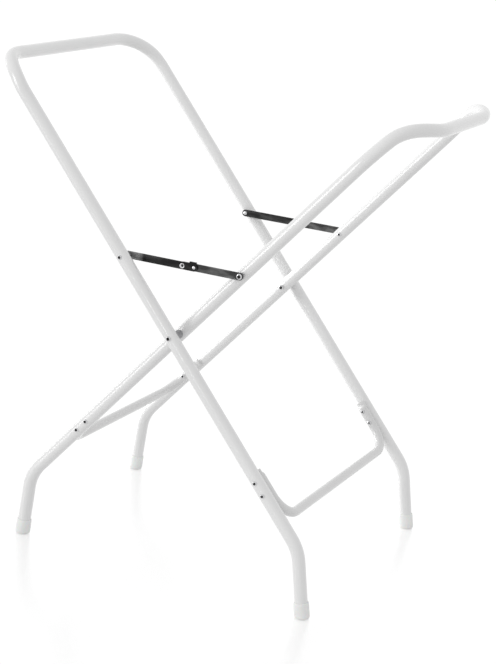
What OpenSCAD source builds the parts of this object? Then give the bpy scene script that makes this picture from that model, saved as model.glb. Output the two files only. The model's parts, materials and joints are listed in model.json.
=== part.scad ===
// Folding stand for a baby bath: two bent tube frames crossed on a pivot,
// held open by a folding stay on each side.
// X runs along the stand, from the outer frame's top bar to the inner frame's.
// Y runs across it, along the pivot. Z is up, and the feet stand on Z = 0.

/* [Tubes] */
// Outside diameter of both frames' tube
tube_d = 24; // [21:0.5:26]
// Wall of the frames' tube
tube_wall = 1.2; // [0.8:0.1:2]
// Outside diameter of the crossbars' tube
crossbar_d = 18; // [14:0.5:18.5]
// Wall of the crossbars' tube
crossbar_wall = 1.2; // [0.8:0.1:1.6]

/* [Stand] */
// Height of the pivot above the floor
pivot_height = 458; // [430:1:480]
// Angle between each leg and the vertical when the stand is open
lean = 40.4; // [38:0.2:43]
// From the middle of the stand to the outer frame's leg axis
outer_half_width = 278; // [240:1:300]
// Clear space between an outer leg and the inner leg beside it
leg_gap = 19; // [17:0.5:26]
// From the pivot down the leg to the outer frame's knee
outer_knee = 438; // [425:1:450]
// From the pivot down the leg to the inner frame's knee
inner_knee = 440; // [425:1:450]
// How far the outer frame's feet stand out past its knees
outer_foot_out = 22; // [5:1:35]
// How far the inner frame's feet stand out past its knees
inner_foot_out = 10; // [5:1:35]
// Radius of the knee bends, on the tube's axis
knee_radius = 85; // [60:1:100]

/* [Top ends] */
// Length of the outer frame above the pivot, along its bent profile
outer_upper = 602; // [570:1:625]
// Length of the inner frame above the pivot, along its bent profile
inner_upper = 593; // [573:1:613]
// Angle that the outer frame's top end is bent outwards
outer_bend = 29; // [15:1:35]
// Angle that the inner frame's top end is bent outwards
inner_bend = 68; // [58:1:78]
// Radius of the outer frame's outward bend, on the tube's axis
outer_bend_radius = 134; // [115:1:155]
// Radius of the inner frame's outward bend, on the tube's axis
inner_bend_radius = 56; // [40:1:80]
// Radius of the outer frame's top corners, on the tube's axis
outer_corner = 90; // [70:1:110]
// Radius of the inner frame's top corners, on the tube's axis
inner_corner = 140; // [120:1:160]

/* [Crossbars] */
// From the outer frame's knee up the leg to its crossbar
outer_crossbar_up = 58; // [50:1:70]
// From the inner frame's knee up the leg to its crossbar
inner_crossbar_up = 102; // [91:1:116]
// From the outer crossbar up the leg to its upper screws
outer_screw_up = 82; // [72:1:92]
// From the inner crossbar up the leg to its upper screws
inner_screw_up = 70; // [66:1:81]
// Distance between the two screws on one leg
screw_pitch = 26; // [20:1:30]
// How far a crossbar's arm runs on past its upper screw
arm_end = 18; // [12:1:24]
// Radius of the outer crossbar's corners, on the tube's axis
outer_crossbar_corner = 48; // [24:1:50]
// Radius of the inner crossbar's corners, on the tube's axis
inner_crossbar_corner = 36; // [24:1:38]

/* [Stays] */
// From the pivot up the leg to the stays' end bolts
stay_up = 169; // [150:1:185]
// Width of the stays' steel strip
link_w = 14; // [11:0.5:16]
// Thickness of the stays' steel strip
link_t = 2.2; // [1.6:0.1:3]
// How far the outer link runs on past the middle rivet
overlap = 29; // [26:1:40]
// Width of the stop tab on the outer link's upper edge
tab_w = 13; // [8:1:16]

/* [Feet] */
// Outside diameter of the foot caps
cap_d = 28; // [27:0.5:33]
// Height of the foot caps
cap_h = 30; // [22:1:40]
// Thickness of a foot cap's floor
cap_floor = 6; // [5:0.5:9]

/* [Fasteners] */
// Diameter of the pivot bolts
pivot_bolt_d = 6; // [5:0.5:8]
// Diameter of the heads of the pivot bolts
pivot_head_d = 9; // [8.5:0.5:14]
// Diameter of the screws and stay bolts
screw_d = 5; // [4:0.5:6]
// Diameter of the heads of the screws and stay bolts
screw_head_d = 8; // [7:0.5:10]
// Height of every head above what it sits on
head_h = 2.6; // [2:0.1:3.5]
// Outside diameter of the pivot spacers
pivot_spacer_d = 16; // [13:0.5:20]
// Outside diameter of the stay spacers
stay_spacer_d = 11; // [9:0.5:13]
// Diameter of the stay bolts' heads on the inner links
link_head_d = 11; // [8:0.5:12]
// Diameter of the middle rivet's head on a stay
rivet_head_d = 10; // [8:0.5:12]
// Diameter of the small catch rivet beside it
catch_rivet_d = 6; // [4:0.5:8]

/* [Clearances] */
// Radial clearance of a bolt in its hole
bolt_fit = 0.05; // [0.02:0.01:0.1]
// Gap between faces that slide past each other
side_gap = 0.3; // [0.2:0.05:0.5]

/* [Hidden] */
$fn = 48;

OUTER = 1;              // the outer frame's legs run down towards +X
INNER = -1;             // the inner frame's legs run down towards -X
TUBE_SIDES = 24;        // flats round a swept frame tube
CORNER_RINGS = 16;      // rings along a top corner
BEND_RINGS = 4;         // rings along the outward bend, before the corner
KNEE_RINGS = 6;         // rings along a knee
CROSSBAR_SIDES = 16;    // flats round a swept crossbar
ARC_RINGS = 6;          // rings along a crossbar's corner
ARM_FLAT = 0.55;        // how far the ends of a crossbar's arms are pressed flat
HOLE_TURN = 30;         // where a hole's seam lies round it
BIG = 100;              // half of the block that trims the caps at the floor

tube_r = tube_d / 2;
inner_half_width = outer_half_width - tube_d - leg_gap;
outer_leg_face = outer_half_width - tube_r;     // where the outer leg faces the inner leg
inner_leg_face = inner_half_width + tube_r;     // where the inner leg faces the outer leg
outer_link_y = (outer_leg_face + inner_leg_face + side_gap) / 2;    // outer link's inward face
inner_link_y = outer_link_y - side_gap;                             // inner link's outward face
link_length = stay_up * sin(lean);              // so the links lie in line when the stand is open
outer_crossbar_down = outer_knee - outer_crossbar_up;
inner_crossbar_down = inner_knee - inner_crossbar_up;
outer_screw_down = outer_crossbar_down - outer_screw_up;
inner_screw_down = inner_crossbar_down - inner_screw_up;

// The two frames reach out by different amounts, so the pivot stands a little off
// the middle of the stand, which is the origin.
outer_reach = profile_point(outer_upper, outer_upper, outer_bend, outer_bend_radius,
                            outer_knee, outer_foot_out).x;
inner_reach = profile_point(inner_upper, inner_upper, inner_bend, inner_bend_radius,
                            inner_knee, inner_foot_out).x;
pivot_x = (inner_reach - outer_reach) / 2;

function degrees(radians) = radians * 180 / PI;
function radians(degrees) = degrees * PI / 180;
function knee_height(knee) = pivot_height - knee * cos(lean);
function foot_lean(knee, foot_out) = atan(foot_out / knee_height(knee));

// A frame's profile, seen from the front, with the pivot at X = 0. A length along it is
// measured up from the pivot, so the knee and the foot have negative lengths.
// It leans towards -X going up. Where it bends, its lean changes.
function knee_setback(knee, foot_out) = knee_radius * tan((lean - foot_lean(knee, foot_out)) / 2);
function bend_start(upper, bend_angle, bend_radius) = upper - bend_radius * radians(bend_angle);
function profile_lean(s, upper, bend_angle, bend_radius, knee, foot_out) =
    let (top = bend_start(upper, bend_angle, bend_radius),
         low = knee_setback(knee, foot_out) - knee)
    s > top ? lean + degrees((s - top) / bend_radius)
    : s < low ? max(foot_lean(knee, foot_out), lean - degrees((low - s) / knee_radius))
    : lean;
function profile_point(s, upper, bend_angle, bend_radius, knee, foot_out) =
    let (top = bend_start(upper, bend_angle, bend_radius),
         low = knee_setback(knee, foot_out) - knee,
         a = profile_lean(s, upper, bend_angle, bend_radius, knee, foot_out),
         straight = min(max(s, low), top),
         arc = s > top ? bend_radius : knee_radius,
         foot = s < low ? min(0, s - low + knee_radius * radians(lean - a)) : 0)
    [-straight * sin(lean) + arc * (cos(a) - cos(lean)) - foot * sin(a),
     0,
     pivot_height + straight * cos(lean) + arc * (sin(a) - sin(lean)) + foot * cos(a)];

// Length of the profile from the pivot down to the floor
function foot_length(knee, foot_out) =
    knee - 2 * knee_setback(knee, foot_out) + knee_radius * radians(lean - foot_lean(knee, foot_out))
    + norm([foot_out, knee_height(knee)]);

// One ring of a swept frame: centre, the direction square to the bent sheet that the
// frame lies in, and the direction in that sheet square to the tube.
function frame_ring(side, s, y, across, upper, bend_angle, bend_radius, knee, foot_out) =
    let (a = profile_lean(s, upper, bend_angle, bend_radius, knee, foot_out),
         p = profile_point(s, upper, bend_angle, bend_radius, knee, foot_out),
         along = [-side * sin(a) * cos(across), sin(across), cos(a) * cos(across)],
         out = [side * cos(a), 0, sin(a)])
    [[pivot_x + side * p.x, y, p.z], out, cross(along, out)];

function steps(from, to, count) = [for (i = [0 : count]) from + (to - from) * i / count];

function half_frame(side, half_width, upper, bend_angle, bend_radius, corner, knee, foot_out) =
    let (low = knee_setback(knee, foot_out) - knee,
         knee_end = low - knee_radius * radians(lean - foot_lean(knee, foot_out)),
         tube_end = cap_floor - foot_length(knee, foot_out),
         top = min(bend_start(upper, bend_angle, bend_radius), upper - corner),
         corner_start = upper - corner)
    concat(
        [for (s = concat([tube_end], steps(knee_end, low, KNEE_RINGS),
                         top < corner_start ? steps(top, corner_start, BEND_RINGS) : [corner_start]))
            frame_ring(side, s, -half_width, 0, upper, bend_angle, bend_radius, knee, foot_out)],
        [for (i = [1 : CORNER_RINGS])
            let (a = 90 * i / CORNER_RINGS)
            frame_ring(side, corner_start + corner * sin(a), corner - corner * cos(a) - half_width, a,
                       upper, bend_angle, bend_radius, knee, foot_out)]);

// The other half is the mirror image of the first, taken backwards
function flip(v) = [v.x, -v.y, v.z];
function other_half(rings) =
    [for (i = [len(rings) - 1 : -1 : 0]) [flip(rings[i][0]), rings[i][1], flip(rings[i][2])]];

// Hollow tube through a list of rings, with flat ends. It turns a flat, and not an edge,
// towards Y, where the bolts pass through it.
module swept_tube(rings, outer, wall, n) {
    last = len(rings) - 1;
    skin = [for (r = rings, radius = [outer / 2, outer / 2 - wall], i = [0 : n - 1])
        r[0] + radius * (r[1] * cos(360 * (i + 0.5) / n) + r[2] * sin(360 * (i + 0.5) / n))];
    function at(ring, inside, i) = ring * 2 * n + inside * n + i % n;
    walls = [for (k = [0 : last - 1], i = [0 : n - 1], flipped = [0, 1])
        each flipped == 0
            ? [[at(k, 0, i), at(k + 1, 0, i), at(k + 1, 0, i + 1)],
               [at(k, 0, i), at(k + 1, 0, i + 1), at(k, 0, i + 1)]]
            : [[at(k, 1, i), at(k + 1, 1, i + 1), at(k + 1, 1, i)],
               [at(k, 1, i), at(k, 1, i + 1), at(k + 1, 1, i + 1)]]];
    ends = [for (i = [0 : n - 1])
        each [[at(0, 0, i), at(0, 0, i + 1), at(0, 1, i + 1)],
              [at(0, 0, i), at(0, 1, i + 1), at(0, 1, i)],
              [at(last, 0, i), at(last, 1, i + 1), at(last, 0, i + 1)],
              [at(last, 0, i), at(last, 1, i), at(last, 1, i + 1)]]];
    polyhedron(points = skin, faces = concat(walls, ends), convexity = 8);
}

outer_half = half_frame(OUTER, outer_half_width, outer_upper, outer_bend, outer_bend_radius,
                        outer_corner, outer_knee, outer_foot_out);
inner_half = half_frame(INNER, inner_half_width, inner_upper, inner_bend, inner_bend_radius,
                        inner_corner, inner_knee, inner_foot_out);

// Places its children at a length down a frame's leg from the pivot, with their Z
// down the leg.
module on_leg(side, down) {
    translate([pivot_x, 0, pivot_height]) rotate([0, 180 - side * lean, 0]) translate([0, 0, down])
        children();
}
module both_sides() {
    children();
    mirror([0, 1, 0]) children();
}
// A round bar along Y, from y_from to y_to on the front side
module along_y(y_from, y_to, d) {
    translate([0, -y_from, 0]) rotate([90, 0, 0]) cylinder(d = d, h = y_to - y_from);
}
// A domed head of which the flat side faces the middle of the stand
module dome(y, d, inwards = false) {
    translate([0, -y, 0]) rotate([inwards ? -90 : 90, 0, 0]) rotate_extrude() intersection() {
        square([d / 2, head_h]);
        translate([0, head_h - d]) circle(r = d);
    }
}

// The straight part of a leg as a solid bar, to fit pieces round it
module leg_bar(half_width, fit) {
    translate([0, -half_width, -BIG]) cylinder(d = tube_d + 2 * fit, h = 2 * BIG);
}
module arm_bar(half_width, fit) {
    translate([0, -half_width, -BIG]) cylinder(d = crossbar_d + 2 * fit, h = 2 * BIG);
}

// A hole right through both legs of a frame or both arms of a crossbar, turned so that
// the hole's own seam stays clear of the tube's edges
module cross_hole(half_width, d) {
    rotate([0, HOLE_TURN, 0])
        along_y(-half_width - tube_d, half_width + tube_d, d + 2 * bolt_fit);
}

// ---- frames
module frame(side, half, half_width, screw_down) {
    difference() {
        swept_tube(concat(half, other_half(half)), tube_d, tube_wall, TUBE_SIDES);
        on_leg(side, 0) cross_hole(half_width, pivot_bolt_d);
        for (down = [-stay_up, screw_down, screw_down + screw_pitch])
            on_leg(side, down) cross_hole(half_width, screw_d);
    }
}
module outer_frame() {
    color("white") frame(OUTER, outer_half, outer_half_width, outer_screw_down);
}
module inner_frame() {
    color("white") frame(INNER, inner_half, inner_half_width, inner_screw_down);
}

// ---- crossbars
// One ring of a crossbar, with the U in the plane of Y and Z
function bar_ring(y, z, turned, flat) = [[0, y, z], [1, 0, 0], [0, cos(turned), -sin(turned)] * flat];
function half_crossbar(arm_y, arm_top, down, corner) =
    concat([bar_ring(-arm_y - crossbar_d / 2 * (1 - ARM_FLAT), arm_top, 0, ARM_FLAT),
            bar_ring(-arm_y - crossbar_d / 2 * (1 - ARM_FLAT), arm_top + arm_end / 3, 0, ARM_FLAT),
            bar_ring(-arm_y, arm_top + arm_end * 2 / 3, 0, 1)],
           [for (i = [0 : ARC_RINGS])
               let (a = 90 * i / ARC_RINGS)
               bar_ring(corner * (1 - cos(a)) - arm_y, down - corner * (1 - sin(a)), a, 1)]);
// A U of tube: its arms lie on the inward side of the legs, with flattened ends,
// and its Z runs down the leg
module crossbar(side, half_width, down, screw_down, corner) {
    arm_y = half_width - tube_r - crossbar_d / 2;
    half = half_crossbar(arm_y, screw_down - arm_end, down, corner);
    on_leg(side, 0) difference() {
        swept_tube(concat(half, other_half(half)), crossbar_d, crossbar_wall, CROSSBAR_SIDES);
        for (s = [screw_down, screw_down + screw_pitch]) translate([0, 0, s])
            cross_hole(half_width, screw_d);
    }
}
module outer_crossbar() {
    color("white") crossbar(OUTER, outer_half_width, outer_crossbar_down, outer_screw_down,
                            outer_crossbar_corner);
}
module inner_crossbar() {
    color("white") crossbar(INNER, inner_half_width, inner_crossbar_down, inner_screw_down,
                            inner_crossbar_corner);
}

// Screws through the leg and the crossbar's arm, with their heads on the leg's outward side
module crossbar_screws(side, half_width, screw_down) {
    arm_face = half_width - tube_r - crossbar_d;
    for (s = [screw_down, screw_down + screw_pitch]) on_leg(side, s) {
        along_y(arm_face - head_h / 2, half_width + tube_r, screw_d);
        difference() {
            union() {
                dome(half_width + tube_r, screw_head_d);
                along_y(half_width + tube_r / 2, half_width + tube_r, screw_head_d);
            }
            leg_bar(half_width, 0);
        }
    }
}
module crossbar_nuts(side, half_width, screw_down) {
    arm_face = half_width - tube_r - crossbar_d;
    for (s = [screw_down, screw_down + screw_pitch]) on_leg(side, s) difference() {
        union() {
            dome(arm_face, screw_head_d, true);
            along_y(arm_face, arm_face + crossbar_d / 4, screw_head_d);
        }
        arm_bar(arm_face + crossbar_d / 2, 0);
        along_y(arm_face - head_h / 2, arm_face + crossbar_d, screw_d + 2 * bolt_fit);
    }
}
module outer_crossbar_screws() {
    color("silver") both_sides() crossbar_screws(OUTER, outer_half_width, outer_screw_down);
}
module outer_crossbar_nuts() {
    color("silver") both_sides() crossbar_nuts(OUTER, outer_half_width, outer_screw_down);
}
module inner_crossbar_screws() {
    color("silver") both_sides() crossbar_screws(INNER, inner_half_width, inner_screw_down);
}
module inner_crossbar_nuts() {
    color("silver") both_sides() crossbar_nuts(INNER, inner_half_width, inner_screw_down);
}

// ---- feet
// A cap in line with the foot, trimmed flat where it stands on the floor
module foot_cap(side, half_width, knee, foot_out) {
    foot_x = pivot_x + side * (knee * sin(lean) + foot_out);
    difference() {
        translate([foot_x, -half_width, 0]) rotate([0, -side * foot_lean(knee, foot_out), 0])
            difference() {
                translate([0, 0, -cap_floor]) cylinder(d = cap_d, h = cap_floor + cap_h);
                translate([0, 0, cap_floor]) cylinder(d = tube_d + 2 * bolt_fit, h = cap_h);
            }
        translate([foot_x - BIG / 2, -half_width - BIG / 2, -BIG]) cube([BIG, BIG, BIG]);
    }
}
module outer_foot_cap_front() {
    color("whitesmoke") foot_cap(OUTER, outer_half_width, outer_knee, outer_foot_out);
}
module outer_foot_cap_rear() { mirror([0, 1, 0]) outer_foot_cap_front(); }
module inner_foot_cap_front() {
    color("whitesmoke") foot_cap(INNER, inner_half_width, inner_knee, inner_foot_out);
}
module inner_foot_cap_rear() { mirror([0, 1, 0]) inner_foot_cap_front(); }

// ---- pivot
// Each bolt runs through an outer leg, a spacer and an inner leg, and turns with the outer frame
module pivot_bolt_front() {
    color("silver") on_leg(OUTER, 0) {
        along_y(inner_half_width - tube_r - side_gap - head_h, outer_half_width + tube_r, pivot_bolt_d);
        difference() {
            union() {
                dome(outer_half_width + tube_r, pivot_head_d);
                along_y(outer_half_width + tube_r / 2, outer_half_width + tube_r, pivot_head_d);
            }
            leg_bar(outer_half_width, 0);
        }
    }
}
module pivot_bolt_rear() { mirror([0, 1, 0]) pivot_bolt_front(); }
module pivot_nut_front() {
    seat = inner_half_width - tube_r - side_gap;
    color("silver") on_leg(OUTER, 0) difference() {
        translate([0, head_h, 0]) {
            along_y(seat, seat + head_h, pivot_head_d);
            dome(seat, pivot_head_d, true);
        }
        along_y(seat - head_h, seat + 1, pivot_bolt_d + 2 * bolt_fit);
    }
}
module pivot_nut_rear() { mirror([0, 1, 0]) pivot_nut_front(); }
module pivot_spacer_front() {
    color("dimgray") on_leg(OUTER, 0) difference() {
        along_y(inner_leg_face + side_gap, outer_half_width, pivot_spacer_d);
        leg_bar(outer_half_width, 0);
        along_y(inner_leg_face, outer_half_width, pivot_bolt_d + 2 * bolt_fit);
    }
}
module pivot_spacer_rear() { mirror([0, 1, 0]) pivot_spacer_front(); }

// ---- stays
// Places its children on a stay's line, with X along the stay and X = 0 at a length
// from the middle rivet
module on_stay(x) {
    translate([pivot_x + x, 0, pivot_height + stay_up * cos(lean)]) children();
}
// A strip with round ends, from x_from to x_to between the centres of its ends
module strip(y_in, x_from, x_to) {
    translate([x_from, -y_in - link_t, -link_w / 2]) cube([x_to - x_from, link_t, link_w]);
    for (x = [x_from, x_to]) translate([x, 0, 0]) along_y(y_in, y_in + link_t, link_w);
}
module outer_link_front() {
    hole = screw_d + 2 * bolt_fit;
    tab_x = overlap - tab_w;
    color("dimgray") on_stay(0) difference() {
        union() {
            strip(outer_link_y, -link_length, overlap - link_w / 2);
            translate([tab_x - link_w / 4, -outer_link_y - link_t, link_w / 2 - 1])
                cube([tab_w, link_t, link_t + side_gap + 1]);
            translate([tab_x - link_w / 4, -outer_link_y - link_t, link_w / 2 + side_gap])
                cube([tab_w, 2 * link_t + side_gap, link_t]);
        }
        translate([-link_length, 0, 0]) along_y(outer_link_y - 1, outer_link_y + link_t + 1, hole);
        along_y(outer_link_y - 1, outer_link_y + link_t + 1, hole);
    }
}
module outer_link_rear() { mirror([0, 1, 0]) outer_link_front(); }
module inner_link_front() {
    hole = screw_d + 2 * bolt_fit;
    color("gray") on_stay(0) difference() {
        strip(inner_link_y - link_t, 0, link_length);
        for (x = [0, link_length]) translate([x, 0, 0])
            along_y(inner_link_y - link_t - 1, inner_link_y + 1, hole);
    }
}
module inner_link_rear() { mirror([0, 1, 0]) inner_link_front(); }

// The middle rivet's head and shank ride on the outer link, its tail on the inner link
module stay_rivet_front() {
    color("silver") on_stay(0) {
        dome(outer_link_y + link_t, rivet_head_d);
        along_y(outer_link_y, outer_link_y + link_t, screw_d);
    }
}
module stay_rivet_rear() { mirror([0, 1, 0]) stay_rivet_front(); }
module stay_rivet_tail_front() {
    color("silver") on_stay(0) {
        dome(inner_link_y - link_t, rivet_head_d - 2, true);
        along_y(inner_link_y - link_t, inner_link_y, screw_d);
    }
}
module stay_rivet_tail_rear() { mirror([0, 1, 0]) stay_rivet_tail_front(); }
module catch_rivet_front() {
    color("silver") on_stay(overlap - link_w / 2) intersection() {
        dome(outer_link_y + link_t, catch_rivet_d);
        along_y(outer_link_y, outer_link_y + link_t + head_h / 2, catch_rivet_d);
    }
}
module catch_rivet_rear() { mirror([0, 1, 0]) catch_rivet_front(); }

// The bolt at each end of a stay runs through the leg, a spacer and the link
module outer_stay_bolt_front() {
    color("silver") on_leg(OUTER, -stay_up) {
        along_y(outer_link_y - side_gap - head_h / 2, outer_half_width + tube_r, screw_d);
        difference() {
            union() {
                dome(outer_half_width + tube_r, screw_head_d);
                along_y(outer_half_width + tube_r / 2, outer_half_width + tube_r, screw_head_d);
            }
            leg_bar(outer_half_width, 0);
        }
    }
}
module outer_stay_bolt_rear() { mirror([0, 1, 0]) outer_stay_bolt_front(); }
module outer_stay_nut_front() {
    color("silver") on_leg(OUTER, -stay_up) difference() {
        dome(outer_link_y - side_gap, screw_head_d, true);
        along_y(outer_link_y - side_gap - head_h / 2, outer_link_y, screw_d + 2 * bolt_fit);
    }
}
module outer_stay_nut_rear() { mirror([0, 1, 0]) outer_stay_nut_front(); }
module outer_stay_spacer_front() {
    color("dimgray") on_leg(OUTER, -stay_up) difference() {
        along_y(outer_link_y + link_t + side_gap, outer_half_width, stay_spacer_d);
        leg_bar(outer_half_width, 0);
        along_y(outer_link_y, outer_half_width, screw_d + 2 * bolt_fit);
    }
}
module outer_stay_spacer_rear() { mirror([0, 1, 0]) outer_stay_spacer_front(); }
module inner_stay_bolt_front() {
    color("silver") on_leg(INNER, -stay_up) {
        along_y(inner_half_width - tube_r - head_h / 2, inner_link_y + side_gap, screw_d);
        dome(inner_link_y + side_gap, link_head_d);
    }
}
module inner_stay_bolt_rear() { mirror([0, 1, 0]) inner_stay_bolt_front(); }
module inner_stay_nut_front() {
    face = inner_half_width - tube_r;
    color("silver") on_leg(INNER, -stay_up) difference() {
        union() {
            dome(face, screw_head_d, true);
            along_y(face, face + tube_r / 2, screw_head_d);
        }
        leg_bar(inner_half_width, 0);
        along_y(face - head_h / 2, face + tube_r, screw_d + 2 * bolt_fit);
    }
}
module inner_stay_nut_rear() { mirror([0, 1, 0]) inner_stay_nut_front(); }
module inner_stay_spacer_front() {
    color("dimgray") on_leg(INNER, -stay_up) difference() {
        along_y(inner_half_width, inner_link_y - link_t - side_gap, stay_spacer_d);
        leg_bar(inner_half_width, 0);
        along_y(inner_half_width, inner_link_y, screw_d + 2 * bolt_fit);
    }
}
module inner_stay_spacer_rear() { mirror([0, 1, 0]) inner_stay_spacer_front(); }

outer_frame();
outer_crossbar();
outer_crossbar_screws();
outer_crossbar_nuts();
outer_foot_cap_front();
outer_foot_cap_rear();
pivot_bolt_front();
pivot_bolt_rear();
pivot_nut_front();
pivot_nut_rear();
pivot_spacer_front();
pivot_spacer_rear();
outer_stay_bolt_front();
outer_stay_bolt_rear();
outer_stay_nut_front();
outer_stay_nut_rear();
outer_stay_spacer_front();
outer_stay_spacer_rear();
inner_frame();
inner_crossbar();
inner_crossbar_screws();
inner_crossbar_nuts();
inner_foot_cap_front();
inner_foot_cap_rear();
inner_stay_bolt_front();
inner_stay_bolt_rear();
inner_stay_nut_front();
inner_stay_nut_rear();
inner_stay_spacer_front();
inner_stay_spacer_rear();
outer_link_front();
outer_link_rear();
inner_link_front();
inner_link_rear();
stay_rivet_front();
stay_rivet_rear();
stay_rivet_tail_front();
stay_rivet_tail_rear();
catch_rivet_front();
catch_rivet_rear();
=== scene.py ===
"""A folding stand for a baby bath: two white tube frames crossed on a pivot, with a dark steel
stay on each side that holds them open. X runs along the stand, Y across it, Z up, and lengths are
in metres. The outer frame's top is at -X and the inner frame's at +X. The front side is at -Y."""

import json
import math
from collections import namedtuple

import bmesh
import bpy
from mathutils import Matrix, Vector


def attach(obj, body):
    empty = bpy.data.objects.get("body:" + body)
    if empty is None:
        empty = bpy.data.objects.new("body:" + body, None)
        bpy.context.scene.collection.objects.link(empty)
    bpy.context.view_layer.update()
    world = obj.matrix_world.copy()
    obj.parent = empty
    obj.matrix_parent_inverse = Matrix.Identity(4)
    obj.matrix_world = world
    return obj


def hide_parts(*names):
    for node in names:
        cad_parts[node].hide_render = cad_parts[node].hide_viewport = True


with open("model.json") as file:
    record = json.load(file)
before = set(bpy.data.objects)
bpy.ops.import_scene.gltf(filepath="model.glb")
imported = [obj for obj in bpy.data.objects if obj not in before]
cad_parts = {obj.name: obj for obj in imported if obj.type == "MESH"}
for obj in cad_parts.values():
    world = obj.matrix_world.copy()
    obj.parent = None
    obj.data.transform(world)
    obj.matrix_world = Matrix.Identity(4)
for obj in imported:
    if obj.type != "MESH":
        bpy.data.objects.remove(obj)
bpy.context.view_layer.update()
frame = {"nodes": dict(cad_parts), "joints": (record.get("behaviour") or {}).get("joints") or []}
JOINTS = {joint["name"]: joint for joint in frame["joints"]}

# ---------------------------------------------------------------- sizes: the frames
PIVOT = Vector(JOINTS["fold"]["pos_m"])
LEAN = math.radians(40.4)
TUBE_R = 0.012
BAR_R = 0.009
KNEE_RADIUS = 0.085

# A frame with its crossbar. Its turn is 1 where the legs' tops lean to -X. Lengths along the leg go
# from the pivot: upper up to the top bar, and down to the knee's corner, to the crossbar
# (bar_down) and to its upper screws (screw_down). A foot stands foot_out further out than its knee.
Side = namedtuple(
    "Side",
    "name body turn half_width upper bend bend_radius corner"
    " knee foot_out bar_down bar_corner screw_down",
)
OUTER = Side(
    name="outer", body="outer_side", turn=1, half_width=0.278,
    upper=0.602, bend=math.radians(29), bend_radius=0.134, corner=0.090,
    knee=0.438, foot_out=0.022, bar_down=0.380, bar_corner=0.048, screw_down=0.298,
)
INNER = Side(
    name="inner", body="inner_side", turn=-1, half_width=0.235,
    upper=0.593, bend=math.radians(68), bend_radius=0.056, corner=0.140,
    knee=0.440, foot_out=0.010, bar_down=0.338, bar_corner=0.036, screw_down=0.268,
)

# A crossbar's arm ends above its upper screw and is pressed flat, to a share of its tube's depth.
SCREW_PITCH = 0.026
ARM_END = 0.018
ARM_PRESSED = 0.012
ARM_FLAT = 0.55

# ---------------------------------------------------------------- sizes: the foot caps
CAP_FLOOR = 0.006
SOLE_LEVEL = 0.012

# Radius, and height up the foot, from under the sole, up the side and down the bore.
CAP_PROFILE = [
    (0.0000, 0.0000), (0.0092, 0.0000), (0.0110, 0.0004), (0.0124, 0.0013), (0.0134, 0.0027),
    (0.0139, 0.0045), (0.0140, 0.0070), (0.0140, 0.0120), (0.0139, 0.0180), (0.0138, 0.0240),
    (0.0137, 0.0278), (0.0135, 0.0290), (0.0131, 0.0297), (0.0125, 0.0300), (0.01205, 0.0298),
    (0.01205, 0.0060), (0.0000, 0.0060),
]

# ---------------------------------------------------------------- sizes: the stays
# The two links of a stay lap at its middle rivet. A tab on the outer link stops the inner one.
STAY_UP = 0.169
LINK_W = 0.014
LINK_T = 0.0022
LINK_BEVEL = 0.0004
OVERLAP = 0.029
TAB_W = 0.013
TAB_BACK = 0.0035
TAB_ROOT = 0.001
SIDE_GAP = 0.0003
LINK_LENGTH = STAY_UP * math.sin(LEAN)
STAY_Z = PIVOT.z + STAY_UP * math.cos(LEAN)
OUTER_LINK_Y = (OUTER.half_width + INNER.half_width + SIDE_GAP) / 2
INNER_LINK_Y = OUTER_LINK_Y - SIDE_GAP

# ---------------------------------------------------------------- sizes: the fasteners
SCREW_R = 0.0025
PIVOT_BOLT_R = 0.003
PIVOT_COLLAR_R = 0.0045
CATCH_SHANK_R = 0.0012
HEAD_H = 0.0026
SCREW_HEAD_R = 0.0040
PIVOT_HEAD_R = 0.0045
LINK_HEAD_R = 0.0055
RIVET_HEAD_R = 0.0050
RIVET_TAIL_R = 0.0040
CATCH_HEAD_R = 0.0030
CATCH_HEAD_H = 0.0013
ROUND_SEAT = 0.0012
NUT_SHANK = 0.002
STUB_SHANK = 0.0002
CATCH_SHANK = 0.001

# The turns of the heads' recesses are drawn from these.
CROSSBAR_SEED = 3
END_SEED = 11

ENDS = {"front": -1, "rear": 1}

# Slack in a comparison of places, for rounding errors.
ROUNDING = 1e-4


# ---------------------------------------------------------------- materials
def node_adder(tree):
    """A function that adds a node to a tree, with its settings and its inputs' values by name."""

    def add(kind, **settings):
        node = tree.nodes.new(kind)
        for key, value in settings.items():
            if hasattr(node, key):
                setattr(node, key, value)
            else:
                node.inputs[key.replace("_", " ")].default_value = value
        return node

    return add


def new_material(name):
    """A material with its Principled shader, and the functions that add and link its nodes."""
    material = bpy.data.materials.new(name)
    material.use_nodes = True
    tree = material.node_tree
    return material, tree.nodes["Principled BSDF"], node_adder(tree), tree.links.new


def pattern(add, link, scale, stretch=(1, 1, 1), detail=2.0):
    """Noise in the object's own coordinates, with its scale in waves a metre."""
    place = add("ShaderNodeTexCoord")
    mapping = add("ShaderNodeMapping", Scale=stretch)
    noise = add("ShaderNodeTexNoise", Scale=scale, Detail=detail)
    link(place.outputs["Object"], mapping.inputs["Vector"])
    link(mapping.outputs["Vector"], noise.inputs["Vector"])
    return noise.outputs["Fac"]


def spread(add, link, source, low, high, start=0.3, stop=0.7):
    """A value from low to high as the source goes from start to stop."""
    node = add("ShaderNodeMapRange", From_Min=start, From_Max=stop, To_Min=low, To_Max=high)
    link(source, node.inputs["Value"])
    return node.outputs["Result"]


def colours(add, link, source, low, high, start=0.3, stop=0.7):
    """A colour from low to high as the source goes from start to stop."""
    ramp = add("ShaderNodeValToRGB")
    ramp.color_ramp.elements[0].position = start
    ramp.color_ramp.elements[0].color = (*low, 1)
    ramp.color_ramp.elements[1].position = stop
    ramp.color_ramp.elements[1].color = (*high, 1)
    link(source, ramp.inputs["Fac"])
    return ramp.outputs["Color"]


def bumped(add, link, shader, source, strength, distance=0.0001):
    bump = add("ShaderNodeBump", Strength=strength, Distance=distance)
    link(source, bump.inputs["Height"])
    link(bump.outputs["Normal"], shader.inputs["Normal"])


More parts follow.
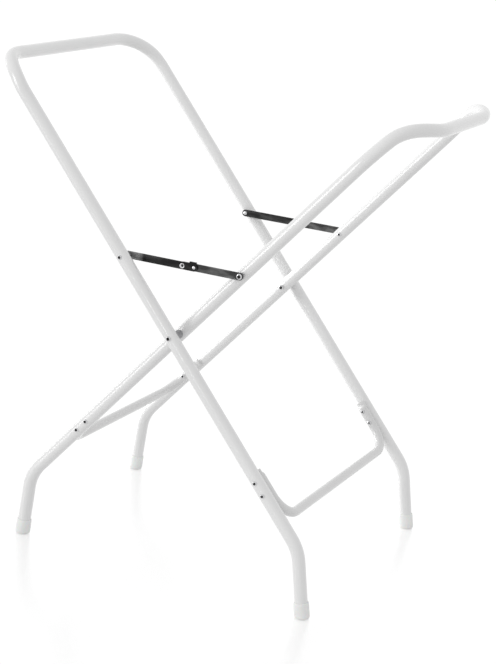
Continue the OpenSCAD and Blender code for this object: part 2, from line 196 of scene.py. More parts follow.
def tinted(add, link, shader, scale, low, high):
    """Gives a shader a colour that wanders from low to high, with a scale in waves a metre."""
    link(colours(add, link, pattern(add, link, scale), low, high), shader.inputs["Base Color"])


def roughened(add, link, shader, scale, low, high):
    """Gives a shader a roughness that wanders from low to high, with a scale in waves a metre."""
    link(spread(add, link, pattern(add, link, scale), low, high), shader.inputs["Roughness"])


def white_paint(name, low, high):
    """Glossy powder coat: a slight orange peel, and a tone that wanders from low to high."""
    material, shader, add, link = new_material(name)
    tinted(add, link, shader, 7.0, (low,) * 3, (high,) * 3)
    roughened(add, link, shader, 90.0, 0.18, 0.24)
    bumped(add, link, shader, pattern(add, link, 250.0), 0.02)
    shader.inputs["Coat Weight"].default_value = 0.5
    shader.inputs["Coat Roughness"].default_value = 0.06
    return material


def cap_plastic():
    """Soft white plastic with a fine matt skin."""
    material, shader, add, link = new_material("soft_white_cap")
    tinted(add, link, shader, 40.0, (0.84, 0.84, 0.83), (0.88, 0.88, 0.87))
    roughened(add, link, shader, 200.0, 0.45, 0.6)
    bumped(add, link, shader, pattern(add, link, 1500.0), 0.15)
    shader.inputs["Subsurface Weight"].default_value = 0.08
    shader.inputs["Subsurface Scale"].default_value = 0.004
    return material


def spacer_plastic():
    """Grey plastic with a fine moulded grain."""
    material, shader, add, link = new_material("grey_moulded_spacer")
    tinted(add, link, shader, 120.0, (0.26, 0.26, 0.27), (0.32, 0.32, 0.33))
    roughened(add, link, shader, 300.0, 0.4, 0.55)
    bumped(add, link, shader, pattern(add, link, 1200.0), 0.2)
    return material


def dark_strip(name, low, high, painted_reflection=None):
    """Dark plated steel strip, drawn along its length and cloudy from low to high. A painted
    reflection, where given, is the X where its own tone ends, the X where the strip's begins, and
    that tone: a fixed lighter or darker stretch of the strip that stands in for a reflection."""
    material, shader, add, link = new_material(name)
    cloud = pattern(add, link, 60.0, stretch=(0.5, 1, 1.4), detail=4.0)
    plating = colours(add, link, cloud, (low,) * 3, (high,) * 3, 0.42, 0.75)
    # Painted reflection: beyond an X the strip's tone gives way to a fixed tone.
    if painted_reflection:
        ends, starts, tone = painted_reflection
        place = add("ShaderNodeTexCoord")
        along = add("ShaderNodeSeparateXYZ")
        mix = add("ShaderNodeMixRGB", Color2=(tone, tone, tone, 1))
        link(place.outputs["Object"], along.inputs["Vector"])
        link(spread(add, link, along.outputs["X"], 1.0, 0.0, ends, starts), mix.inputs["Fac"])
        link(plating, mix.inputs["Color1"])
        plating = mix.outputs["Color"]
    link(plating, shader.inputs["Base Color"])
    drawn = pattern(add, link, 260.0, stretch=(0.06, 1, 3.0), detail=3.0)
    link(spread(add, link, drawn, 0.18, 0.38), shader.inputs["Roughness"])
    bumped(add, link, shader, drawn, 0.12, 0.0002)
    shader.inputs["Metallic"].default_value = 0.9
    shader.inputs["Coat Weight"].default_value = 0.2
    return material


def plated_steel():
    """Bright plating that has gone slightly cloudy."""
    material, shader, add, link = new_material("bright_plated_steel")
    tinted(add, link, shader, 300.0, (0.50, 0.50, 0.51), (0.68, 0.68, 0.69))
    roughened(add, link, shader, 700.0, 0.14, 0.26)
    bumped(add, link, shader, pattern(add, link, 900.0), 0.08)
    shader.inputs["Metallic"].default_value = 1.0
    return material


def recess_painted_shade():
    """The inside of a drive recess, near black: painted shade."""
    material, shader, add, link = new_material("dark_recess")
    tinted(add, link, shader, 900.0, (0.010, 0.010, 0.010), (0.030, 0.030, 0.030))
    shader.inputs["Roughness"].default_value = 0.7
    return material


FRAME_PAINT = white_paint("gloss_white_paint", 0.79, 0.82)
# The crossbars take a darker copy of the frames' white paint: painted shade.
SHADED_BAR_PAINT = white_paint("crossbar_white_paint", 0.69, 0.72)
CAP_PLASTIC = cap_plastic()
SPACER_PLASTIC = spacer_plastic()
OUTER_STRIPS = {
    # The front outer link's outer end carries a painted light reflection, tone 0.30.
    "front": dark_strip("black_polished_strip", 0.008, 0.040, painted_reflection=(-0.088, -0.078, 0.30)),
    # The rear outer link takes a lighter copy of the strip's tones: painted sheen.
    "rear": dark_strip("black_polished_rear_strip", 0.015, 0.070),
}
# The inner links' first stretch from the middle rivet carries a painted dark reflection, tone 0.03.
INNER_STRIP = dark_strip("grey_polished_strip", 0.035, 0.17, painted_reflection=(0.024, 0.034, 0.03))
PLATED_STEEL = plated_steel()
RECESS_PAINTED_SHADE = recess_painted_shade()


# ---------------------------------------------------------------- mesh helpers
def new_object(name, data):
    thing = bpy.data.objects.new(name, data)
    bpy.context.scene.collection.objects.link(thing)
    return thing


def mesh_piece(name, points, faces=(), edges=()):
    mesh = bpy.data.meshes.new(name)
    mesh.from_pydata([tuple(p) for p in points], edges, faces)
    mesh.update()
    return new_object(name, mesh)


def face_outwards(mesh):
    shape = bmesh.new()
    shape.from_mesh(mesh)
    bmesh.ops.remove_doubles(shape, verts=shape.verts, dist=1e-7)
    bmesh.ops.recalc_face_normals(shape, faces=shape.faces)
    shape.to_mesh(mesh)
    shape.free()


def smooth_by_angle(mesh, degrees=35):
    """Smooth shading, with edges sharper than the angle kept crisp."""
    shape = bmesh.new()
    shape.from_mesh(mesh)
    for face in shape.faces:
        face.smooth = True
    for edge in shape.edges:
        if len(edge.link_faces) == 2:
            edge.smooth = edge.calc_face_angle() < math.radians(degrees)
    shape.to_mesh(mesh)
    shape.free()


def prism_faces(count):
    """The faces of a prism between two outlines of a count of points each."""
    ends = [tuple(range(count)), tuple(range(2 * count - 1, count - 1, -1))]
    return ends + [(i, (i + 1) % count, count + (i + 1) % count, count + i) for i in range(count)]


def ring_mesh(name, rings):
    """A closed skin through rings of as many points each, with a point at either end."""
    count = len(rings[1])
    points = [p for ring in rings for p in ring]
    starts = [0]
    for ring in rings[:-1]:
        starts.append(starts[-1] + len(ring))
    faces = []
    for here, there, a, b in zip(rings, rings[1:], starts, starts[1:]):
        for i in range(count):
            j = (i + 1) % count
            if len(here) == 1:
                faces.append((a, b + i, b + j))
            elif len(there) == 1:
                faces.append((a + i, b, a + j))
            else:
                faces.append((a + i, b + i, b + j, a + j))
    piece = mesh_piece(name, points, faces)
    face_outwards(piece.data)
    return piece


def finished(piece, node, body):
    """Hands a piece over: it stands for its node and rides on its body."""
    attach(piece, body)
    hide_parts(node)
    return piece


# ---------------------------------------------------------------- node trees
def new_tree(name, inputs):
    tree = bpy.data.node_groups.new(name, "GeometryNodeTree")
    tree.interface.new_socket("Geometry", in_out="INPUT", socket_type="NodeSocketGeometry")
    for label, kind in inputs:
        tree.interface.new_socket(label, in_out="INPUT", socket_type="NodeSocket" + kind)
    tree.interface.new_socket("Geometry", in_out="OUTPUT", socket_type="NodeSocketGeometry")
    return tree, node_adder(tree), tree.links.new


def tube_tree():
    """Sweeps a round tube along a line of edges."""
    tree, add, link = new_tree(
        "round_tube", [("Radius", "Float"), ("Sides", "Int"), ("Material", "Material")]
    )
    given = add("NodeGroupInput")
    line = add("GeometryNodeMeshToCurve")
    ring = add("GeometryNodeCurvePrimitiveCircle")
    sweep = add("GeometryNodeCurveToMesh", Fill_Caps=True)
    real = add("GeometryNodeRealizeInstances")
    painted = add("GeometryNodeSetMaterial")
    result = add("NodeGroupOutput")
    link(given.outputs["Geometry"], line.inputs["Mesh"])
    link(given.outputs["Sides"], ring.inputs["Resolution"])
    link(given.outputs["Radius"], ring.inputs["Radius"])
    link(line.outputs["Curve"], sweep.inputs["Curve"])
    link(ring.outputs["Curve"], sweep.inputs["Profile Curve"])
    link(sweep.outputs["Mesh"], real.inputs["Geometry"])
    link(real.outputs["Geometry"], painted.inputs["Geometry"])
    link(given.outputs["Material"], painted.inputs["Material"])
    link(painted.outputs["Geometry"], result.inputs["Geometry"])
    return tree


def fastener_tree():
    """Sets a head with its shank at each point, along the point's facing, turned at random."""
    tree, add, link = new_tree(
        "fasteners",
        [
            ("Head", "Object"),
            ("Shank Radius", "Float"),
            ("Shank Length", "Float"),
            ("Seed", "Int"),
            ("Material", "Material"),
            ("Recess Material", "Material"),
        ],
    )
    given = add("NodeGroupInput")
    head = add("GeometryNodeObjectInfo")
    shank = add("GeometryNodeMeshCylinder", Vertices=24)
    half = add("ShaderNodeMath", operation="MULTIPLY")
    half.inputs[1].default_value = -0.5
    below = add("ShaderNodeCombineXYZ")
    lower = add("GeometryNodeTransform")
    both = add("GeometryNodeJoinGeometry")
    facing = add("GeometryNodeInputNamedAttribute", data_type="FLOAT_VECTOR", Name="facing")
    aligned = add("FunctionNodeAlignRotationToVector", axis="Z")
    spin = add("FunctionNodeRandomValue", data_type="FLOAT")
    spin.inputs[3].default_value = 2 * math.pi
    turned = add("FunctionNodeAxisAngleToRotation")
    combined = add("FunctionNodeRotateRotation", rotation_space="LOCAL")
    placed = add("GeometryNodeInstanceOnPoints")
    real = add("GeometryNodeRealizeInstances")
    # Faces marked as recess take the near-black painted shade.
    recess = add("GeometryNodeInputNamedAttribute", data_type="BOOLEAN", Name="recess")
    bright = add("GeometryNodeSetMaterial")
    dark = add("GeometryNodeSetMaterial")
    result = add("NodeGroupOutput")
    link(given.outputs["Head"], head.inputs["Object"])
    link(given.outputs["Shank Radius"], shank.inputs["Radius"])
    link(given.outputs["Shank Length"], shank.inputs["Depth"])
    link(given.outputs["Shank Length"], half.inputs[0])
    link(half.outputs[0], below.inputs["Z"])
    link(shank.outputs["Mesh"], lower.inputs["Geometry"])
    link(below.outputs["Vector"], lower.inputs["Translation"])
    link(head.outputs["Geometry"], both.inputs["Geometry"])
    link(lower.outputs["Geometry"], both.inputs["Geometry"])
    link(facing.outputs["Attribute"], aligned.inputs["Vector"])
    link(given.outputs["Seed"], spin.inputs["Seed"])
    link(spin.outputs[1], turned.inputs["Angle"])
    link(aligned.outputs["Rotation"], combined.inputs["Rotation"])
    link(turned.outputs["Rotation"], combined.inputs["Rotate By"])
    link(given.outputs["Geometry"], placed.inputs["Points"])
    link(both.outputs["Geometry"], placed.inputs["Instance"])
    link(combined.outputs["Rotation"], placed.inputs["Rotation"])
    link(placed.outputs["Instances"], real.inputs["Geometry"])
    link(real.outputs["Geometry"], bright.inputs["Geometry"])
    link(given.outputs["Material"], bright.inputs["Material"])
    link(bright.outputs["Geometry"], dark.inputs["Geometry"])
    link(recess.outputs["Attribute"], dark.inputs["Selection"])
    link(given.outputs["Recess Material"], dark.inputs["Material"])
    link(dark.outputs["Geometry"], result.inputs["Geometry"])
    return tree


def modified_mesh(piece):
    """A piece's mesh as its modifiers make it."""
    graph = bpy.context.evaluated_depsgraph_get()
    return bpy.data.meshes.new_from_object(piece.evaluated_get(graph), depsgraph=graph)


def grown(source, tree, name, **values):
    """The plain mesh that a node tree makes of a source object, which is then removed."""
    modifier = source.modifiers.new(tree.name, "NODES")
    modifier.node_group = tree
    for item in tree.interface.items_tree:
        key = item.name.lower().replace(" ", "_")
        if item.in_out == "INPUT" and key in values:
            modifier[item.identifier] = values[key]
    source.update_tag()
    mesh = modified_mesh(source)
    bpy.data.objects.remove(source)
    mesh.name = name
    return new_object(name, mesh)


TUBE_TREE = tube_tree()
FASTENER_TREE = fastener_tree()


# ---------------------------------------------------------------- the frames' lines
def knee_height(side):
    return PIVOT.z - side.knee * math.cos(LEAN)


def foot_lean(side):
    return math.atan(side.foot_out / knee_height(side))


def knee_turn(side):
    return LEAN - foot_lean(side)


def knee_setback(side):
    """Length from the knee's corner point to the start of its bend."""
    return KNEE_RADIUS * math.tan(knee_turn(side) / 2)


def leg_point(side, s):
    """Where a frame's leg is at a length s up from the pivot, in the plane Y = 0."""
    top, low = side.upper - side.bend_radius * side.bend, knee_setback(side) - side.knee
    straight = min(max(s, low), top)
    lean, radius, foot = LEAN, KNEE_RADIUS, 0.0
    if s > top:
        lean, radius = LEAN + (s - top) / side.bend_radius, side.bend_radius
    elif s < low:
        lean = max(foot_lean(side), LEAN - (low - s) / KNEE_RADIUS)
        foot = min(0.0, s - low + KNEE_RADIUS * (LEAN - lean))
    bend_x = radius * (math.cos(lean) - math.cos(LEAN))
    bend_z = radius * (math.sin(lean) - math.sin(LEAN))
    x = bend_x - straight * math.sin(LEAN) - foot * math.sin(lean)
    z = bend_z + straight * math.cos(LEAN) + foot * math.cos(lean)
    return Vector((PIVOT.x + side.turn * x, 0, PIVOT.z + z))


def foot_length(side):
    """Length of the leg from the pivot down to the floor."""
    bend = KNEE_RADIUS * knee_turn(side)
    foot = math.hypot(side.foot_out, knee_height(side))
    return side.knee - 2 * knee_setback(side) + bend + foot


def steps(start, stop, count):
    return [start + (stop - start) * i / count for i in range(count + 1)]


def mirrored(points):
    return [Vector((p.x, -p.y, p.z)) for p in reversed(points)]


def frame_line(side):
    """The middle line of a frame's tube, from one foot round the top to the other."""
    low = knee_setback(side) - side.knee
    knee_end = low - KNEE_RADIUS * knee_turn(side)
    corner_start = side.upper - side.corner
    lengths = [CAP_FLOOR - foot_length(side)] + steps(knee_end, low, 12)
    lengths += steps(low, corner_start, 24)[1:]
    half = [leg_point(side, s) - Vector((0, side.half_width, 0)) for s in lengths]
    for turn in steps(0, math.pi / 2, 44)[1:]:
        point = leg_point(side, corner_start + side.corner * math.sin(turn))
        point.y = side.corner * (1 - math.cos(turn)) - side.half_width
        half.append(point)
    return half + mirrored(half)


def leg_direction(side):
    """The way down a frame's straight leg."""
    return Vector((side.turn * math.sin(LEAN), 0, -math.cos(LEAN)))


def down_leg(side, down, y):
    """A point at a length down a frame's leg from the pivot."""
    return Vector((PIVOT.x, y, PIVOT.z)) + leg_direction(side) * down


def tube_piece(name, line, radius, sides, paint):
    edges = [(i, i + 1) for i in range(len(line) - 1)]
    source = mesh_piece(name + "_line", line, edges=edges)
    piece = grown(source, TUBE_TREE, name, radius=radius, sides=sides, material=paint)
    face_outwards(piece.data)
    smooth_by_angle(piece.data)
    return piece


def make_frame(side):
    piece = tube_piece(side.name + "_frame_tube", frame_line(side), TUBE_R, 72, FRAME_PAINT)
    return finished(piece, side.name + "_frame", side.body)


# ---------------------------------------------------------------- crossbars
def crossbar_line(side):
    arm_y = side.half_width - TUBE_R - BAR_R
    arm_top = side.screw_down - ARM_END
    half = [down_leg(side, s, -arm_y) for s in steps(arm_top, side.bar_down - side.bar_corner, 24)]
    for turn in steps(0, math.pi / 2, 20)[1:]:
        down = side.bar_down - side.bar_corner * (1 - math.sin(turn))
        half.append(down_leg(side, down, side.bar_corner * (1 - math.cos(turn)) - arm_y))
    return half + mirrored(half)


def press_arm_ends(piece, side):
    """Presses the ends of a crossbar's arms flat against the legs."""
    arm_top = side.screw_down - ARM_END
    leg_face = side.half_width - TUBE_R
    arm_in = leg_face - 2 * BAR_R - ROUNDING
    for vertex in piece.data.vertices:
        down = (vertex.co - PIVOT).dot(leg_direction(side))
        pressed = min(max((arm_top + ARM_PRESSED - down) / (ARM_END - ARM_PRESSED), 0), 1)
        pressed = pressed * pressed * (3 - 2 * pressed)
        if abs(vertex.co.y) > arm_in and pressed > 0:
            depth = leg_face - abs(vertex.co.y)
            depth *= 1 - (1 - ARM_FLAT) * pressed
            vertex.co.y = math.copysign(leg_face - depth, vertex.co.y)


def make_crossbar(side):
    piece = tube_piece(side.name + "_crossbar_tube", crossbar_line(side), BAR_R, 56, SHADED_BAR_PAINT)
    press_arm_ends(piece, side)
    return finished(piece, side.name + "_crossbar", side.body)


# ---------------------------------------------------------------- foot caps
def make_cap(side, end):
    """A cap in line with the foot, whose sole lies level on the floor."""
    lean = foot_lean(side)
    foot_x = PIVOT.x + side.turn * (side.knee * math.sin(LEAN) + side.foot_out)
    foot = Vector((foot_x, ENDS[end] * side.half_width, 0))
    up = Vector((-side.turn * math.sin(lean), 0, math.cos(lean)))
    rings = []
    for radius, height in CAP_PROFILE:
        level = 1 - min(height / SOLE_LEVEL, 1)
        tilt = lean * (1 - level * level)
        across = Vector((math.cos(tilt), 0, side.turn * math.sin(tilt)))
        middle = foot + up * height
        turns = steps(0, 2 * math.pi, 64)[:-1] if radius else [0]
        rings.append(
            [middle + radius * (across * math.cos(a) + Vector((0, math.sin(a), 0))) for a in turns]
        )
    node = f"{side.name}_foot_cap_{end}"
    piece = ring_mesh(node + "_moulding", rings)
    piece.data.materials.append(CAP_PLASTIC)
    smooth_by_angle(piece.data, 50)
    return finished(piece, node, side.body)


# ---------------------------------------------------------------- fastener heads
HEAD_TURNS = steps(0, 2 * math.pi, 48)[:-1]


def circle(radius, height):
    return [Vector((radius * math.cos(a), radius * math.sin(a), height)) for a in HEAD_TURNS]


def cross(reach, width, height):
    """A ring in the shape of a cross recess."""
    ring = []
    for a in HEAD_TURNS:
        near = (a + math.pi / 4) % (math.pi / 2) - math.pi / 4
        radius = min(reach / math.cos(near), width / max(abs(math.sin(near)), 1e-6))
        ring.append(Vector((radius * math.cos(a), radius * math.sin(a), height)))
    return ring


def head_template(name, rings, lowest, reach):
    """A head as a closed skin. The faces of its recess, which lie above a lowest height and within
    a reach from the middle, are marked so that they take a near-black painted shade."""
    piece = ring_mesh(name, rings)
    smooth_by_angle(piece.data, 40)
    marks = piece.data.attributes.new("recess", "BOOLEAN", "FACE")
    for face, mark in zip(piece.data.polygons, marks.data):
        middle = face.center
        mark.value = middle.z > lowest and middle.xy.length < reach and face.normal.z > -0.5
    return piece


def dome_ring(radius, head_radius, height, edge=0.0005):
    """A ring of a low dome, whose rim stands an edge's height over the seat."""
    level = edge + (height - edge) * math.sqrt(max(0.0, 1 - (radius / head_radius) ** 2))
    return circle(radius, level)


def seat_rings(radius, skirt):
    """The lower end of a head. Its skirt goes below the seat, into a round tube."""
    return [circle(radius, -skirt), [Vector((0, 0, -skirt))]]


def recessed_head(name, radius, depth, reach, width, skirt=0.0):
    """A domed head with a cross recess, which goes down a depth and out a reach from the middle.
    Its slots are twice a width wide, and it tapers to about 0.7 of its size at its floor."""
    top = dome_ring(reach, radius, HEAD_H)[0].z
    rings = [
        [Vector((0, 0, top - depth))],
        cross(reach * 0.72, width * 0.7, top - depth),
        cross(reach, width, top),
        dome_ring(reach * 1.12, radius, HEAD_H),
    ]
    rings += [dome_ring(radius * share, radius, HEAD_H) for share in (0.75, 0.86, 0.94, 0.98, 1.0)]
    rings += seat_rings(radius, skirt)
    return head_template(name, rings, top - depth - 1e-5, reach * 1.04)


def hollow_rivet(name, radius, hollow, depth):
    """A rolled rivet head with a hollow in its middle."""
    rings = [[Vector((0, 0, HEAD_H - depth))], circle(hollow * 0.75, HEAD_H - depth)]
    rings.append(circle(hollow, HEAD_H * 0.86))
    for a in steps(0.15 * math.pi, math.pi, 8):
        across = hollow + (radius - hollow) * (1 - math.cos(a)) / 2
        share = 0.8 + 0.2 * math.sin(a) if a < 0.7 * math.pi else math.sin(a)
        rings.append(circle(across, HEAD_H * share))
    rings += seat_rings(radius, 0.0)
    return head_template(name, rings, HEAD_H - depth - 1e-5, hollow * 0.8)


def plain_dome(name, radius, height):
    """A low dome without a recess."""
    rings = [[Vector((0, 0, height))]]
    for share in (0.2, 0.4, 0.6, 0.75, 0.87, 0.95, 1.0):
        rings.append(dome_ring(radius * share, radius, height, edge=0.0003))
    rings += seat_rings(radius, 0.0)
    return head_template(name, rings, height, 0.0)


def make_heads():
    """The templates that the fasteners are set from, which are removed once all are made."""
    screw_recess = dict(depth=0.0016, reach=0.0024, width=0.0008)
    nut_recess = dict(depth=0.0014, reach=0.0020, width=0.0012)
    pivot_recess = dict(depth=0.0016, reach=0.0028, width=0.0009)
    link_recess = dict(depth=0.0014, reach=0.0032, width=0.0008)
    return {
        "screw": recessed_head("screw_head", SCREW_HEAD_R, skirt=ROUND_SEAT, **screw_recess),
        "nut": recessed_head("nut_head", SCREW_HEAD_R, skirt=ROUND_SEAT, **nut_recess),
        "pivot": recessed_head("pivot_head", PIVOT_HEAD_R, skirt=ROUND_SEAT, **pivot_recess),
        "link": recessed_head("link_head", LINK_HEAD_R, **link_recess),
        "stay_nut": plain_dome("stay_nut_head", SCREW_HEAD_R, HEAD_H),
        "rivet": hollow_rivet("rivet_head", RIVET_HEAD_R, hollow=0.0030, depth=0.0014),
        "rivet_tail": hollow_rivet("rivet_tail", RIVET_TAIL_R, hollow=0.0022, depth=0.0014),
        "catch": plain_dome("catch_head", CATCH_HEAD_R, CATCH_HEAD_H),
    }


def fasteners(node, body, seats, facing, head, shank_radius, shank_length, seed):
    """The fasteners of one node, on their seats. They face out of the stand (1) or into it (-1)."""
    source = mesh_piece(node + "_seats", seats)
    directions = source.data.attributes.new("facing", "FLOAT_VECTOR", "POINT")
    for seat, direction in zip(seats, directions.data):
        direction.vector = (0, math.copysign(facing, seat.y * facing), 0)
    piece = grown(
        source, FASTENER_TREE, node + "_plated", head=head, shank_radius=shank_radius,
        shank_length=shank_length, seed=seed, material=PLATED_STEEL, recess_material=RECESS_PAINTED_SHADE,
    )
    return finished(piece, node, body)


def make_crossbar_fasteners(side, heads, seed):
    """The screws through the legs into a crossbar's arms, and their nuts inside."""
    leg_out = side.half_width + TUBE_R
    arm_in = side.half_width - TUBE_R - 2 * BAR_R
    downs = (side.screw_down, side.screw_down + SCREW_PITCH)
    for node, y, facing, head, length in (
        ("crossbar_screws", leg_out, 1, "screw", leg_out - arm_in),
        ("crossbar_nuts", arm_in, -1, "nut", NUT_SHANK),
    ):
        seats = [down_leg(side, s, sign * y) for sign in ENDS.values() for s in downs]
        name = f"{side.name}_{node}"
        fasteners(name, side.body, seats, facing, heads[head], SCREW_R, length, seed)


def make_pivot_fasteners(end, heads, seed):
    """The bolt that both frames turn on, and its nut inside the inner leg."""
    sign = ENDS[end]
    outer_y = OUTER.half_width + TUBE_R
    nut_y = INNER.half_width - TUBE_R - SIDE_GAP - HEAD_H
    bolt_seat = Vector((PIVOT.x, sign * outer_y, PIVOT.z))
    nut_seat = Vector((PIVOT.x, sign * nut_y, PIVOT.z))
    fasteners(
        f"pivot_bolt_{end}", OUTER.body, [bolt_seat], 1, heads["pivot"], PIVOT_BOLT_R,
        outer_y - nut_y, seed,
    )
    fasteners(
        f"pivot_nut_{end}", OUTER.body, [nut_seat], -1, heads["pivot"], PIVOT_COLLAR_R, HEAD_H, seed
    )


def stay_point(x, y):
    """A point at a length x along the stay from its middle rivet."""
    return Vector((PIVOT.x + x, y, STAY_Z))


def make_stay_fasteners(end, heads, seed):
    """A stay's bolts with their nuts, its middle rivet with its tail, and the small catch rivet."""
    outer_y, inner_y = OUTER.half_width + TUBE_R, INNER.half_width - TUBE_R
    outer_face, inner_face = OUTER_LINK_Y + LINK_T, INNER_LINK_Y - LINK_T
    catch_x = OVERLAP - LINK_W / 2
    outer_arm, inner_arm = f"outer_link_{end}_arm", f"inner_link_{end}_arm"
    for name, body, x, y, facing, head, shank_radius, length in (
        ("outer_stay_bolt", OUTER.body, -LINK_LENGTH, outer_y, 1, "screw",
         SCREW_R, outer_y - OUTER_LINK_Y),
        ("outer_stay_nut", OUTER.body, -LINK_LENGTH, OUTER_LINK_Y - SIDE_GAP, -1, "stay_nut",
         SCREW_R, STUB_SHANK),
        ("inner_stay_bolt", INNER.body, LINK_LENGTH, INNER_LINK_Y + SIDE_GAP, 1, "link",
         SCREW_R, INNER_LINK_Y - inner_y),
        ("inner_stay_nut", INNER.body, LINK_LENGTH, inner_y, -1, "nut", SCREW_R, NUT_SHANK),
        ("stay_rivet", outer_arm, 0, outer_face, 1, "rivet", SCREW_R, LINK_T),
        ("stay_rivet_tail", inner_arm, 0, inner_face, -1, "rivet_tail", SCREW_R, LINK_T),
        ("catch_rivet", outer_arm, catch_x, outer_face, 1, "catch", CATCH_SHANK_R, CATCH_SHANK),
    ):
        seat = stay_point(x, ENDS[end] * y)
        fasteners(f"{name}_{end}", body, [seat], facing, heads[head], shank_radius, length, seed)


def make_fasteners():
    heads = make_heads()
    for number, side in enumerate((OUTER, INNER)):
        make_crossbar_fasteners(side, heads, CROSSBAR_SEED + number)
    for number, end in enumerate(ENDS):
        make_pivot_fasteners(end, heads, END_SEED + number)
        make_stay_fasteners(end, heads, END_SEED + number)
    for head in heads.values():
        bpy.data.objects.remove(head)


# ---------------------------------------------------------------- stay links
def arc(x, radius, start, stop):
    """The round end of a strip, about a point x along the stay."""
    return [(x + radius * math.cos(a), radius * math.sin(a)) for a in steps(start, stop, 10)]


def plate(name, outline, y_in, sign):
    """A flat strip cut to an outline of x along the stay and z across it."""
    near = [stay_point(x, sign * y_in) + Vector((0, 0, z)) for x, z in outline]
    far = [p + Vector((0, sign * LINK_T, 0)) for p in near]
    piece = mesh_piece(name, near + far, prism_faces(len(outline)))
    face_outwards(piece.data)
    shape = bmesh.new()
    shape.from_mesh(piece.data)
    rims = [e for e in shape.edges if e.calc_face_angle(0) > math.radians(60)]
    bmesh.ops.bevel(shape, geom=rims, offset=LINK_BEVEL, segments=3, affect="EDGES", profile=0.5)
    shape.to_mesh(piece.data)
    shape.free()
    return piece


def add_catch_tab(piece, sign):
    """The tab on the outer link's upper edge, bent over the inner link to stop it."""
    start, stop = OVERLAP - TAB_BACK - TAB_W, OVERLAP - TAB_BACK
    inner_edge, outer_edge = INNER_LINK_Y - LINK_T, OUTER_LINK_Y + LINK_T
    low, seat = LINK_W / 2 - TAB_ROOT, LINK_W / 2 + SIDE_GAP
    top = seat + LINK_T
    bend = LINK_T * 0.8
    section = [(outer_edge, low), (outer_edge, top - bend)]
    section += [
        (outer_edge - bend * (1 - math.cos(a)), top - bend * (1 - math.sin(a)))
        for a in steps(0, math.pi / 2, 6)[1:]
    ]
    section += [(inner_edge, top), (inner_edge, seat), (outer_edge - LINK_T, seat)]
    section += [(outer_edge - LINK_T, low)]
    points = [
        stay_point(x, sign * y) + Vector((0, 0, z)) for x in (start, stop) for y, z in section
    ]
    tab = mesh_piece(piece.name + "_tab", points, prism_faces(len(section)))
    face_outwards(tab.data)
    union = piece.modifiers.new("tab", "BOOLEAN")
    union.operation = "UNION"
    union.solver = "EXACT"
    union.object = tab
    mesh = modified_mesh(piece)
    piece.modifiers.clear()
    piece.data = mesh
    bpy.data.objects.remove(tab)


def make_links(end):
    sign, half = ENDS[end], LINK_W / 2
    up = math.pi / 2
    tip = OVERLAP - half
    outer = arc(-LINK_LENGTH, half, up, 3 * up) + arc(tip, half, -up, up)
    inner = arc(0, half, up, 3 * up) + arc(LINK_LENGTH, half, -up, up)
    outer_piece = plate(f"outer_link_{end}_strip", outer, OUTER_LINK_Y, sign)
    add_catch_tab(outer_piece, sign)
    inner_piece = plate(f"inner_link_{end}_strip", inner, INNER_LINK_Y - LINK_T, sign)
    for piece, name, strip in (
        (outer_piece, "outer_link", OUTER_STRIPS[end]),
        (inner_piece, "inner_link", INNER_STRIP),
    ):
        piece.data.materials.clear()
        piece.data.materials.append(strip)
        smooth_by_angle(piece.data, 30)
        finished(piece, f"{name}_{end}", f"{name}_{end}_arm")


# ---------------------------------------------------------------- spacers
def finish_spacers():
    """The spacers keep the shapes they have in CAD, and take the scene's plastic."""
    for name, node in frame["nodes"].items():
        if "spacer" in name:
            node.data.materials.clear()
            node.data.materials.append(SPACER_PLASTIC)


# ---------------------------------------------------------------- stage
# The camera was fitted to the places of the feet, bars, screws and stays in the photo.
CAMERA_PLACE = Vector((1.3920, -3.2697, 1.3704))
CAMERA_TURN = math.radians(22.615)
CAMERA_PITCH = math.radians(15.069)
CAMERA_ROLL = math.radians(5.883)
FOCAL_PX = 1924.6
PHOTO_HEIGHT_PX = 664
SENSOR = 36.0
AMBIENT = 0.78
FLOOR_SIZE = 40.0
FLOOR_GLOW = 1.10
FLOOR_SHADOW = 0.08
FLOOR_ROUGHNESS = 0.27
FLOOR_MIRROR = 0.38


def make_camera():
    """The photo's camera, a little rolled."""
    data = bpy.data.cameras.new("camera")
    data.sensor_width = SENSOR
    data.lens = FOCAL_PX / PHOTO_HEIGHT_PX * SENSOR
    data.clip_end = 100
    camera = new_object("camera", data)
    back = Vector(
        (
            math.sin(CAMERA_TURN) * math.cos(CAMERA_PITCH),
            -math.cos(CAMERA_TURN) * math.cos(CAMERA_PITCH),
            math.sin(CAMERA_PITCH),
        )
    )
    right = Vector((0, 0, 1)).cross(back).normalized()
    up = back.cross(right)
    turned_right = math.cos(CAMERA_ROLL) * right + math.sin(CAMERA_ROLL) * up
    turned_up = -math.sin(CAMERA_ROLL) * right + math.cos(CAMERA_ROLL) * up
    place = CAMERA_PLACE + Vector((PIVOT.x, 0, 0))
    camera.matrix_world = Matrix.Translation(place) @ Matrix(
        (turned_right, turned_up, back)
    ).transposed().to_4x4()
    bpy.context.scene.camera = camera


def rays_seen(add, link):
    """1 for what the camera sees, straight or in gloss or glass."""
    path = add("ShaderNodeLightPath")
    straight_or_gloss = add("ShaderNodeMath", operation="MAXIMUM")
    seen = add("ShaderNodeMath", operation="MAXIMUM")
    link(path.outputs["Is Camera Ray"], straight_or_gloss.inputs[0])
    link(path.outputs["Is Glossy Ray"], straight_or_gloss.inputs[1])
    link(straight_or_gloss.outputs[0], seen.inputs[0])
    link(path.outputs["Is Transmission Ray"], seen.inputs[1])
    return seen.outputs[0]


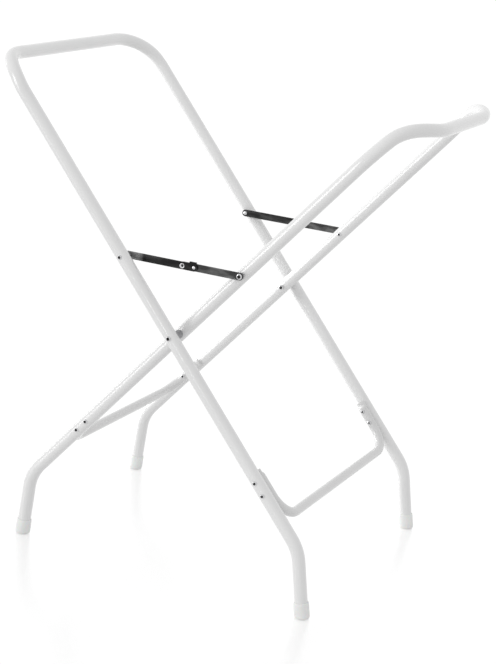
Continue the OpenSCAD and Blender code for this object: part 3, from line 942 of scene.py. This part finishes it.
def make_world():
    """White where it is seen, and a plain even light on everything."""
    world = bpy.data.worlds.new("studio")
    bpy.context.scene.world = world
    world.use_nodes = True
    tree = world.node_tree
    tree.nodes.clear()
    add, link = node_adder(tree), tree.links.new
    white = (1, 1, 1, 1)
    lit = add("ShaderNodeBackground", Color=white, Strength=AMBIENT)
    seen = add("ShaderNodeBackground", Color=white, Strength=1.0)
    choose = add("ShaderNodeMixShader")
    output = add("ShaderNodeOutputWorld")
    link(rays_seen(add, link), choose.inputs["Fac"])
    link(lit.outputs["Background"], choose.inputs[1])
    link(seen.outputs["Background"], choose.inputs[2])
    link(choose.outputs["Shader"], output.inputs["Surface"])


def make_floor():
    """A pale glossy sweep that the camera sees as white, with the feet's faint reflections."""
    half = FLOOR_SIZE / 2
    corners = [(-half, -half, 0), (half, -half, 0), (half, half, 0), (-half, half, 0)]
    floor = mesh_piece("floor", corners, [(0, 1, 2, 3)])
    material = bpy.data.materials.new("white_floor")
    material.use_nodes = True
    tree = material.node_tree
    tree.nodes.clear()
    add, link = node_adder(tree), tree.links.new
    diffuse = add("ShaderNodeBsdfDiffuse", Color=(0.8, 0.8, 0.8, 1))
    glow = add("ShaderNodeEmission", Strength=FLOOR_GLOW)
    gloss = add("ShaderNodeBsdfGlossy", Color=(1, 1, 1, 1), Roughness=FLOOR_ROUGHNESS)
    shadow = add("ShaderNodeMixShader", Fac=FLOOR_SHADOW)
    mirror = add("ShaderNodeMixShader", Fac=FLOOR_MIRROR)
    choose = add("ShaderNodeMixShader")
    output = add("ShaderNodeOutputMaterial")
    link(glow.outputs[0], shadow.inputs[1])
    link(diffuse.outputs[0], shadow.inputs[2])
    link(shadow.outputs[0], mirror.inputs[1])
    link(gloss.outputs[0], mirror.inputs[2])
    link(rays_seen(add, link), choose.inputs["Fac"])
    link(diffuse.outputs[0], choose.inputs[1])
    link(mirror.outputs[0], choose.inputs[2])
    link(choose.outputs[0], output.inputs["Surface"])
    floor.data.materials.append(material)


def make_sun(name, strength, softness, azimuth, height):
    """A soft distant light that shines from an azimuth (from +X towards +Y) and a height."""
    data = bpy.data.lights.new(name, "SUN")
    data.energy = strength
    data.angle = math.radians(softness)
    lamp = new_object(name, data)
    azimuth, height = math.radians(azimuth), math.radians(height)
    level = math.cos(height)
    source = Vector((math.cos(azimuth) * level, math.sin(azimuth) * level, math.sin(height)))
    lamp.rotation_euler = source.to_track_quat("Z", "Y").to_euler()


def make_softbox(name, watts, place, width, height, beam):
    """A soft area light with a grid over it, that shines along +X."""
    data = bpy.data.lights.new(name, "AREA")
    data.shape = "RECTANGLE"
    data.size, data.size_y = width, height
    data.energy = watts
    data.spread = math.radians(beam)
    lamp = new_object(name, data)
    lamp.location = place
    lamp.rotation_euler = Vector((-1, 0, 0)).to_track_quat("Z", "Y").to_euler()


# ---------------------------------------------------------------- making
make_camera()
make_world()
make_floor()
make_sun("key", strength=0.85, softness=30, azimuth=222, height=8)
make_sun("front", strength=0.05, softness=4, azimuth=268, height=3)
make_softbox("rear_left", 2.8, place=(-1.5, 0.45, 0.5), width=0.5, height=1.1, beam=55)
bpy.context.scene.view_settings.view_transform = "Standard"

for side in (OUTER, INNER):
    make_frame(side)
    make_crossbar(side)
    for end in ENDS:
        make_cap(side, end)
for end in ENDS:
    make_links(end)
make_fasteners()
finish_spacers()
